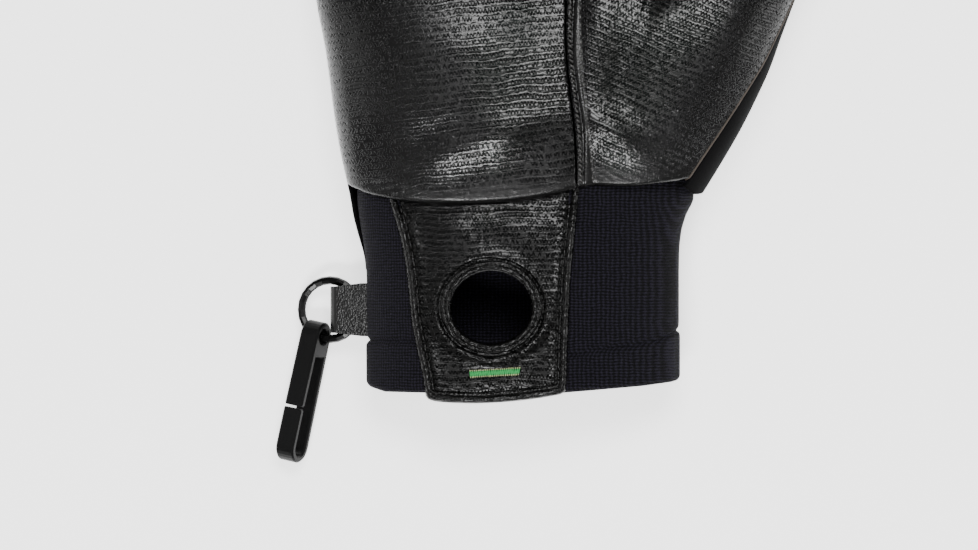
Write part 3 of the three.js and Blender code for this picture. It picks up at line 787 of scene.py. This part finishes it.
def embossed_leather(name, turn, pitch=2.1, depth=0.2, rough=0.2, specular=0.36):
    """Black leather pressed with rows of hooked lines, and a broken line between every two rows, with painted
    shade in the pressed lines.
    """
    s = Shade(name)
    place = s.place(turn)
    x, y, _ = s.axes(place)
    press = s.share("press")
    # Rows a pitch apart, which drift and ripple
    drift = s.centred(s.noise(place, 0.09, 1), 2.4)
    ripple = s.centred(s.noise(place, 0.9, 1), 0.6)
    row = s.math("DIVIDE", s.plus(s.plus(y, drift), ripple), pitch)
    number = s.math("FLOOR", row)
    within = s.centred(s.math("FRACT", row), pitch)
    # A wavy line along each row, with turns that come early or late by chance, and with gaps
    chance = s.noise(s.vector(x, s.times(number, 7.31)), 0.8, 2)
    turns = s.plus(s.times(x, 6.8), s.times(chance, 8.0))
    wave = s.times(s.math("SINE", turns), 0.17 * pitch)
    steep = s.times(s.math("COSINE", turns), 2.2)
    stretch = s.math("SQRT", s.math("MULTIPLY_ADD", steep, steep, 1.0))
    away = s.math("DIVIDE", s.math("ABSOLUTE", s.less(within, wave)), stretch)
    hooks = s.span(away, 0.05, 0.24, 1, 0)
    drawn = s.span(s.noise(s.vector(x, s.times(number, 3.77), 9.0), 0.9, 2), 0.4, 0.46)
    # A broken straight line between two rows
    edge = s.less(pitch / 2, s.math("ABSOLUTE", within))
    dashes = s.span(edge, 0.04, 0.24, 0.8, 0)
    broken = s.span(s.noise(s.vector(s.times(x, 0.6), s.times(y, 1.2)), 0.9, 1), 0.5, 0.55)
    cut = s.math("MAXIMUM", s.times(hooks, drawn), s.times(dashes, broken))
    cut = s.times(cut, press)
    # The relief: grain, less the cuts, on rows that are a little domed
    grain = s.noise(place, 2.2, 2, 0.6)
    full = s.times(s.math("COSINE", s.times(within, 4 * math.pi / pitch)), press)
    height = s.less(s.less(s.times(grain, 0.3), cut), s.times(full, 0.07))
    # Painted shade: the cuts are coloured near black, much darker than the leather, as the shade in the pressed
    # lines
    tone = s.colour(cut, (0.0028, 0.0027, 0.0026), (0.0003, 0.0003, 0.0003))
    worn = s.plus(rough, s.times(s.less(1.0, press), 0.08))
    # Painted shade: a metallic black cut has no gloss of its own, so the pressed lines stay black, as if in
    # shade
    s.put(s.bsdf.inputs["Metallic"], s.times(cut, 0.9))
    return s.finish(tone, worn, s.bump(height, depth), specular)


def knit():
    """Near-black knit with fine rows across the cuff and ribs along it, with painted shade in the dips between
    them.
    """
    s = Shade("knit")
    place = s.place()
    x, y, z = s.axes(place)
    row_pitch, rib_pitch = 0.85, 1.1
    wobble = s.centred(s.noise(place, 0.25, 1), 0.8)
    rows = s.math("SINE", s.times(s.plus(y, wobble), 2 * math.pi / row_pitch))
    ribs = s.math("SINE", s.times(s.plus(s.plus(x, z), wobble), 2 * math.pi / rib_pitch))
    fuzz = s.centred(s.noise(place, 2.2, 3, 0.75), 3.0)
    height = s.plus(s.plus(s.times(rows, 0.5), s.times(ribs, 0.4)), fuzz)
    # The yarn's navy tone follows the relief: near black in the dips between rows and ribs, which is painted
    # shade, and lighter on their tops; the fuzz also makes it vary at random
    tone = s.colour(s.span(height, -0.6, 1.1), (0.0001, 0.0001, 0.0003), (0.014, 0.0125, 0.021))
    return s.finish(tone, 0.8, s.bump(height, 0.2), 0.1, sheen=0.01)


def soft_shell():
    """Matt black cloth."""
    s = Shade("soft_shell")
    fine = s.noise(s.place(), 2.2, 4, 0.7)
    tone = s.colour(fine, (0.0005, 0.0005, 0.0006), (0.0016, 0.0016, 0.0018))
    return s.finish(tone, 0.85, s.bump(fine, 0.08), 0.06, sheen=0.005)


def pebbled():
    """Grained leather of the strap, smooth where it folds round the ring, with painted shade in its grooves and
    on the fold.
    """
    s = Shade("pebbled")
    place = s.place()
    x, _, _ = s.axes(place)
    past_fold = s.span(x, -53.0, -52.2)
    stones = s.times(s.cells(place, 1.7), past_fold)
    fine = s.noise(place, 3.0, 3, 0.6)
    height = s.less(s.times(fine, 0.15), stones)
    # Painted shade: the grooves between the pebbles are darker than their tops
    tone = s.colour(s.span(stones, 0.1, 0.6), (0.008, 0.008, 0.008), (0.0015, 0.0015, 0.0015))
    # Painted shade on the smooth fold round the ring, which is coloured darker than the grain
    tone = s.colour(past_fold, (0.002, 0.002, 0.002), tone)
    return s.finish(tone, 0.32, s.bump(height, 0.2), 0.32)


def plain(name, colour, rough, specular, grain=0.0):
    s = Shade(name)
    normal = s.bump(s.noise(s.place(), 1.6, 3), grain) if grain else None
    return s.finish(colour, rough, normal, specular)


def green_thread():
    """Green thread that is pale where it turns down at the bar's long sides."""
    s = Shade("green_thread")
    place = s.place()
    x, y, _ = s.axes(place)
    middle_x, middle_y = TACK_ENDS.mean(axis=0)
    run, climb = TACK_ENDS[1] - TACK_ENDS[0]
    bar = s.plus(s.times(s.less(x, middle_x), climb / run), middle_y)
    edge = s.span(s.math("ABSOLUTE", s.less(y, bar)), 0.6, 0.9)
    tone = s.colour(edge, (0.012, 0.23, 0.05), (0.45, 0.5, 0.25))
    return s.finish(tone, 0.55, s.bump(s.noise(place, 4.0, 2), 0.1), 0.4)


leather = embossed_leather("palm_leather", -6)
thumb_leather = embossed_leather("thumb_leather", 24, pitch=1.8)
tab_leather = embossed_leather("tab_leather", -1, pitch=1.8, depth=0.17, rough=0.24, specular=0.25)
knitted = knit()
shell_cloth = soft_shell()
strap_leather = pebbled()
ring_gloss = plain("ring_gloss", (0.001, 0.001, 0.001), 0.22, 0.2)
hook_plastic = plain("hook_plastic", (0.001, 0.001, 0.0011), 0.42, 0.15, grain=0.02)
dark_thread = plain("dark_thread", (0.004, 0.0038, 0.0036), 0.3, 0.35)
# Painted highlight: the seam's black thread is coloured greyer than the tab's, so that its stitches show as
# light dots
seam_thread = plain("seam_thread", (0.02, 0.019, 0.018), 0.3, 0.8)
raw_edge = plain("raw_edge", (0.045, 0.034, 0.026), 0.6, 0.3, grain=0.1)
tack_thread = green_thread()

# The hand's panels, half a gap back from every line that they share
HALF_GAP = GAP / 2


def palm_side(p):
    return above_parting(p) - HALF_GAP


def back_side(p):
    return -above_parting(p) - HALF_GAP


def left_of_seam(p):
    return -thumbward(p) - HALF_GAP


def right_of_seam(p):
    return thumbward(p) - HALF_GAP


def above_back_hem(p):
    """Inside the back's own hem, which has a rounded corner on the thumb's side."""
    corner = np.where(p[:, 0] > 20, -side_of(p, BACK_CORNER), WELL_INSIDE)
    return np.minimum(-side_of(p, BACK_HEM), corner)


def tube(line, radius, sides=8):
    """A round thread along a line in space."""
    ahead = heading(line)
    across = np.cross(ahead, [0, 0, 1])
    across /= np.linalg.norm(across, axis=1, keepdims=True)
    up = np.cross(across, ahead)
    return loft([circle(p, radius, a, u, sides) for p, a, u in zip(line, across, up)])


def ordered(points, key, step):
    """Loose points gathered into a line, in the order of a key."""
    slot = np.round(key / step).astype(int)
    return np.array([points[slot == k].mean(axis=0) for k in np.unique(slot)])


def edge_line(rim):
    """The raw edge of the thumb's leather, on its outer side below the fingers."""
    rim = rim[((rim - THUMB_BASE) @ THUMB_ACROSS > 4) & (rim[:, 1] < PALM_LENGTH)]
    return curve(ordered(rim, rim @ THUMB_ALONG, 1.6), 0.5) + np.array([0.1, -0.05, 0.1])


def narrowed(points):
    """The back with its lower left end drawn in onto the cuff."""
    x, y = points[:, 0], points[:, 1]
    end = (x < -30) & (y < 0)
    move = np.where(end, 1.75 * ease(-y, 2, 19) * ease(-x, 30, 42), 0)
    return points + np.outer(move, [1, 0, 0])


hand = build_hand()
palm_panel, palm_tris, palm_press, _ = panel(*hand, [palm_side, above_hem, left_of_seam], PALM_ROLL)
thumb_panel, thumb_tris, thumb_press, thumb_rim = panel(
    *hand, [palm_side, above_hem, right_of_seam], THUMB_ROLL
)
back_shell, back_tris, _, _ = panel(*hand, [back_side, above_back_hem], BACK_ROLL)
palm_sheet = thicken(palm_panel, palm_tris, LEATHER_SHEET)
thumb_sheet = thicken(thumb_panel, thumb_tris, LEATHER_SHEET)
back_sheet = thicken(narrowed(back_shell), back_tris, LEATHER_SHEET)
piece("palm_leather", *palm_sheet, leather, "leather", ["palm_panel"], press=np.tile(palm_press, 2))
piece("thumb_leather", *thumb_sheet, thumb_leather, "leather", ["thumb_panel"], press=np.tile(thumb_press, 2))
piece("raw_edge", *tube(edge_line(thumb_rim), RAW_EDGE_RADIUS), raw_edge, "leather")
piece("back_cloth", *back_sheet, shell_cloth, "softshell", ["back_shell"])

# The knitted cuff, with its turned hem, creased where it is sewn
CREASE_Y = -40.0
CREASE_TOP = -38.5
HEM_TOP = -41.4
HEM_ROUND = 1.4
HEM_GROW = 0.3
CUFF_SIDES = 300
# Rows across the crease: place along the cuff, and how deep the row sinks
CREASE_ROWS = (
    (-39.1, 0.1), (-39.5, 0.35), (-39.85, 0.7), (-40.1, 0.75), (-40.4, 0.4), (-40.8, 0.05), (HEM_TOP, -0.25),
)


def cuff_row(y, grow, to_crease=0.0, to_end=0.0, inner=False):
    """One ring of the cuff, bent toward the line of its crease and the line of its end."""
    left, right, high = (float(v) for v in cuff_reach(y))
    over_shell = SHELL_WALL + GAP
    floor = over_shell * float(ease(y, SHELL_LOW - 0.5, SHELL_LOW + 0.5))
    base = over_shell + KNIT_WALL if inner else floor
    middle = ((right - left) / 2, y, SEAM_HEIGHT)
    half = (right + left) / 2 + grow
    up = high + grow - SEAM_HEIGHT
    points = ring(middle, (1, 0, 0), half, up, 1.2 * SEAM_HEIGHT - base, base, CUFF_SIDES)
    crease = np.interp(points[:, 0], CREASE[:, 0], CREASE[:, 1]) - CREASE_Y
    end = np.interp(points[:, 0], CUFF_END[:, 0], CUFF_END[:, 1]) + CUFF_LENGTH
    points[:, 1] += to_crease * crease + to_end * end
    return points


def build_cuff():
    """Rings down the outside to the crease, over the hem, round its lower edge, and back up the inside."""
    rings = []
    for y in np.arange(CUFF_TUCK, CREASE_TOP, -CUFF_STEP):
        rings.append(cuff_row(y, 0, to_crease=1 - float(ease(y, CREASE_TOP, -25))))
    for y, sink in CREASE_ROWS:
        rings.append(cuff_row(y, -sink, to_crease=1))
    for y in np.arange(-42, -52.2, -CUFF_STEP):
        t = (HEM_TOP - y) / (HEM_TOP + CUFF_LENGTH)
        rings.append(cuff_row(y, HEM_GROW, to_crease=1 - t, to_end=t))
    for turn in np.linspace(0, math.pi, 10):
        y = HEM_ROUND - CUFF_LENGTH - HEM_ROUND * math.sin(turn)
        rings.append(cuff_row(y, HEM_GROW - HEM_ROUND * (1 - math.cos(turn)), to_end=1))
    for y in np.arange(-51.5, CUFF_TUCK, 2 * CUFF_STEP):
        rings.append(cuff_row(y, -KNIT_WALL - 0.7, to_end=float(ease(-y, 38, 52)), inner=True))
    tris = grid_tris(len(rings), len(rings[0]), wrap_rows=True, wrap_columns=True)
    points = np.vstack(rings)
    return points, outward(points, tris)


# The hole through the tab and the cuff: its middle, and its reach across and along
HOLE_MIDDLE = (-8.9, -30.0)
HOLE_REACH = (11.25, 10.1)


def around_hole(turn, grow):
    x = HOLE_MIDDLE[0] + (HOLE_REACH[0] + grow) * np.cos(turn)
    y = HOLE_MIDDLE[1] + (HOLE_REACH[1] + grow) * np.sin(turn)
    return np.column_stack([x, y])


def outside_hole(p, grow):
    return -side_of(p, around_hole(angles(90), grow), closed=True)


def cuff_keep(p):
    return np.where(p[:, 2] > SEAM_HEIGHT, outside_hole(p, 0.9), WELL_INSIDE)


piece("knit_cuff", *clip(*build_cuff(), cuff_keep, 0.7), knitted, "knit", ["cuff"])

# The wrist tab: a flat outline, draped over the cuff
TAB_OUTLINE = curve(np.vstack([TAB_LEFT, TAB_END, TAB_RIGHT]), 1.0)
BAND = 2.45  # from the tab's edge to its stitches


def inside_tab(p):
    return side_of(p, TAB_OUTLINE, closed=True)


def outside_binding(p):
    return outside_hole(p, 1.2)


def build_tab():
    """The tab's upper surface, with its rolled and puckered border, and its depth of emboss."""
    xs = np.arange(-42, 18, TAB_STEP)
    ys = np.arange(-58, 6, TAB_STEP)
    x, y = (v.ravel() for v in np.meshgrid(xs, ys, indexing="ij"))
    points, tris = np.column_stack([x, y, np.zeros_like(x)]), grid_tris(len(xs), len(ys))
    points, tris = clip(points, tris, inside_tab, TAB_STEP)
    points, tris = clip(points, tris, outside_binding, TAB_STEP)
    x, y, _ = points.T
    edge = np.abs(inside_tab(points))
    hole = np.abs(outside_binding(points))
    # The border rolls down at its edge, and the stitches pull it in between puckers
    roll = 0.75 * (1 - np.sqrt(1 - (1 - np.clip(edge / 0.75, 0, 1)) ** 2))
    run = y + 0.35 * x
    pucker = 0.5 + 0.5 * np.sin(run * 2 * np.pi / TAB_STITCH[0] + 1.3 * np.sin(run * 0.7))
    band = bell(edge - 1.1, 0.75) * (0.28 + 0.25 * pucker) - 0.8 * bell(edge - BAND, 0.4)
    band += 0.22 * bell(edge - BAND - 1.6, 1.4) * pucker
    # A swollen ring lies round the hole, with a groove for its stitches
    low = ease(-y, 28, 40)
    ringed = 0.85 * bell(hole - 3.3, 1.9) * (0.3 + (0.5 + 0.5 * pucker) * low)
    ringed -= 0.7 * bell(hole - 2.05, 0.42)
    waves = 0.22 * np.sin(x * 0.34 + y * 0.16) * np.sin(y * 0.27 + 1.1)
    lift = GAP + TAB_WALL + 0.15 - roll + band + ringed + waves * ease(edge, 2, 8)
    lift -= 1.6 * ease(y, -7, 1)
    press = 0.7 + 0.3 * ease(edge, BAND - 0.3, BAND + 0.5)
    return (np.column_stack([x, y, cuff_top(x, y) + lift]), tris), press


tab_surface, tab_press = build_tab()
tab_sheet = thicken(*tab_surface, TAB_SHEET)
piece("tab_leather", *tab_sheet, tab_leather, "leather", ["wrist_tab"], press=np.tile(tab_press, 2))

# The turned edge of the hole as a closed profile: how far out from the hole, and how high over the cuff
BINDING_PROFILE = (
    (0, -3.9), (-0.05, -1.5), (0.0, 1.0), (0.12, 2.2), (0.5, 2.85), (1.05, 3.1), (1.6, 2.95), (1.95, 2.62),
    (2.1, 2.5), (2.3, 2.62), (2.6, 2.7), (2.95, 2.5), (3.1, 2.15), (3.1, 1.95), (1.2, 1.6), (1.1, -3.9),
)


def build_binding():
    turn = angles(260)
    fold = np.sin(turn * 21 + 1.2 * np.sin(turn * 3))
    rings = []
    for out, height in BINDING_PROFILE:
        ripple = 0.12 * fold * ease(height, 1.5, 2.6)
        grow = out * 0.92 + 0.08 * np.sin(turn * 5 + 1) * ease(out, 1, 3)
        x, y = around_hole(turn, grow).T
        rings.append(np.column_stack([x, y, cuff_top(x, y) + height + ripple]))
    tris = grid_tris(len(rings), len(turn), wrap_rows=True, wrap_columns=True)
    points = np.vstack(rings)
    return points, outward(points, tris)


binding = build_binding()
binding_press = np.full(len(binding[0]), 0.7)
piece("hole_rim", *binding, tab_leather, "leather", ["hole_binding"], press=binding_press)

# Stitches: small rounded threads laid on the surface under them


def tree_of(points, tris):
    return BVHTree.FromPolygons(points.tolist(), tris.tolist())


def one_stitch(middle, ahead, surface, length, width, rise):
    """A thread that bends down into the surface at its ends, or none where the surface ends."""
    rings = []
    for t in np.linspace(-1, 1, 7):
        place = middle + ahead * t * length / 2
        hit = surface.ray_cast(Vector((*place, 200)), Vector((0, 0, -1)))
        if hit[0] is None:
            return None
        centre = np.array(hit[0])
        normal = np.array(hit[1])
        if normal[2] < 0:
            normal = -normal
        sink = rise * (1 - 1.6 * t * t)
        radius = width / 2 * math.sqrt(max(0.08, 1 - 0.75 * t * t))
        across = np.cross(normal, [*ahead, 0])
        across /= max(np.linalg.norm(across), 1e-6)
        rings.append(circle(centre + normal * sink, radius, across, normal, 6))
    return loft(rings)


def stitches(line, surface, pitch, length, width, rise, closed=False, slant=0.0):
    """A row of stitches along a line, each turned a little by chance."""
    line = curve(line, pitch)
    meshes = []
    for k in range(len(line) - (1 if closed else 0)):
        ahead = line[min(k + 1, len(line) - 1)] - line[max(k - 1, 0)]
        ahead = ahead / np.linalg.norm(ahead)
        turn = math.radians(slant + rng.normal(0, 4))
        c, s = math.cos(turn), math.sin(turn)
        ahead = np.array([ahead[0] * c - ahead[1] * s, ahead[0] * s + ahead[1] * c])
        stitch = one_stitch(line[k], ahead, surface, length, width, rise)
        if stitch is not None:
            meshes.append(stitch)
    return join(*meshes)


def inset_line(outline, inset):
    """An open outline moved inward."""
    line = curve(outline, 1.0)
    ahead = heading(line)
    return line + inset * np.column_stack([-ahead[:, 1], ahead[:, 0]])


def sewn_part(line):
    """The part of a seam's line from the hem to beyond the photograph's upper edge."""
    return line[(line[:, 1] > 5) & (line[:, 1] < 75)]


seam_tree = tree_of(*join((palm_panel, palm_tris), (thumb_panel, thumb_tris)))
tab_tree = tree_of(*join(tab_surface, binding))
thumb_row = stitches(sewn_part(THUMB_STITCHES), seam_tree, *THUMB_STITCH)
ridge_row = stitches(sewn_part(SEAM_GROOVE) + [1.2, 0], seam_tree, *RIDGE_STITCH, slant=35)
piece("seam_stitches", *join(thumb_row, ridge_row), seam_thread, "thread")
tab_line = inset_line(np.vstack([TAB_LEFT[1:], TAB_END, TAB_RIGHT[:-2]]), BAND)
piece("tab_stitches", *stitches(tab_line, tab_tree, *TAB_STITCH), dark_thread, "thread")
rim_line = around_hole(angles(120), 2.0)
rim_row = stitches(np.vstack([rim_line, rim_line[:1]]), tab_tree, *RIM_STITCH, closed=True)
piece("rim_stitches", *rim_row, dark_thread, "thread")

# The green bar tack: threads laid side by side across the bar
TACK_THREADS = 46
TACK_HALF_WIDTH = 1.12
TACK_RISE = 0.85


def build_tack():
    (x0, y0), (x1, y1) = TACK_ENDS
    meshes = []
    for k in range(TACK_THREADS):
        t = (k + 0.5) / TACK_THREADS
        x = mix(x0, x1, t) + rng.normal(0, 0.03)
        y = mix(y0, y1, t) + rng.normal(0, 0.05)
        lean = 0.25 if k % 2 else -0.1
        rings = []
        for s in np.linspace(-1, 1, 9):
            px, py = x + lean * s, y + TACK_HALF_WIDTH * s
            z = float(cuff_top(px, py)) + GAP + TAB_WALL + TACK_RISE * math.sqrt(max(0, 1 - s**4))
            radius = 0.2 * math.sqrt(max(0.2, 1 - 0.5 * s * s))
            rings.append(circle(np.array([px, py, z]), radius, (1, 0, 0), (0, 0, 1), 6))
        meshes.append(loft(rings))
    return join(*meshes)


piece("green_tack", *build_tack(), tack_thread, "thread", ["bar_tack"])

# The strap loop, the ring and the clip keep their solids' own forms
for node, material in (("strap_loop", strap_leather), ("ring", ring_gloss), ("clip_hook", hook_plastic)):
    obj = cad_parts[node]
    obj.data.materials.clear()
    obj.data.materials.append(material)

# The lights: name, place round the middle of the view, width and height, all in metres, and power in watts
LIGHTS = (
    ("far_key", (0.1, 0.64, 1.3), (0.7, 0.46), 19),
    ("near_key", (-0.2, -0.7, 1.15), (0.46, 0.2), 18),
    ("overhead", (0.0, 0.05, 2.0), (1.3, 1.1), 6),
    ("left_light", (-1.2, 0.1, 0.45), (0.4, 0.9), 1.6),
    ("right_light", (1.2, -0.1, 0.45), (0.4, 0.9), 5),
)
# The floor and the camera, in metres, and the camera's sensor in millimetres
FLOOR_REACH = 3
CAMERA_DISTANCE = 1.6
LOOK_HEIGHT = 0.025
SENSOR_WIDTH = 36
VIEW_MIDDLE = Vector((
    (PHOTO_WIDTH / 2 - PHOTO_ORIGIN[0]) * PIXEL * MM,
    (PHOTO_ORIGIN[1] - PHOTO_HEIGHT / 2) * PIXEL * MM,
    LOOK_HEIGHT,
))

floor_shade = Shade("floor")
floor_shade.bsdf.inputs["Emission Color"].default_value = (1, 1, 1, 1)
floor_shade.bsdf.inputs["Emission Strength"].default_value = 1.5
floor = bpy.data.meshes.new("floor")
corners = [(x * FLOOR_REACH, y * FLOOR_REACH, 0) for x, y in ((-1, -1), (1, -1), (1, 1), (-1, 1))]
floor.from_pydata(corners, [], [(0, 1, 2, 3)])
floor.materials.append(floor_shade.finish((0.9, 0.9, 0.9), 0.9, specular=0.1))
floor_object = linked("floor", floor)

world = bpy.data.worlds.new("studio")
bpy.context.scene.world = world
world.use_nodes = True
background = world.node_tree.nodes["Background"]
background.inputs["Color"].default_value = (1, 1, 1, 1)
background.inputs["Strength"].default_value = 0.25


def softbox(name, place, size, power):
    """A rectangular light that is turned toward the middle of the view."""
    light = bpy.data.lights.new(name, "AREA")
    light.shape = "RECTANGLE"
    light.size, light.size_y = size
    light.energy = power
    obj = linked(name, light)
    obj.location = VIEW_MIDDLE + Vector(place)
    obj.rotation_euler = (VIEW_MIDDLE - obj.location).to_track_quat("-Z", "Y").to_euler()


for light in LIGHTS:
    softbox(*light)

# The camera looks straight down, and its frame is as wide as the photograph's
camera = bpy.data.cameras.new("camera")
camera.sensor_width = SENSOR_WIDTH
camera.lens = SENSOR_WIDTH * CAMERA_DISTANCE / (PHOTO_WIDTH * PIXEL * MM)
camera_object = linked("camera", camera)
camera_object.location = VIEW_MIDDLE + Vector((0, 0, CAMERA_DISTANCE))
bpy.context.scene.camera = camera_object
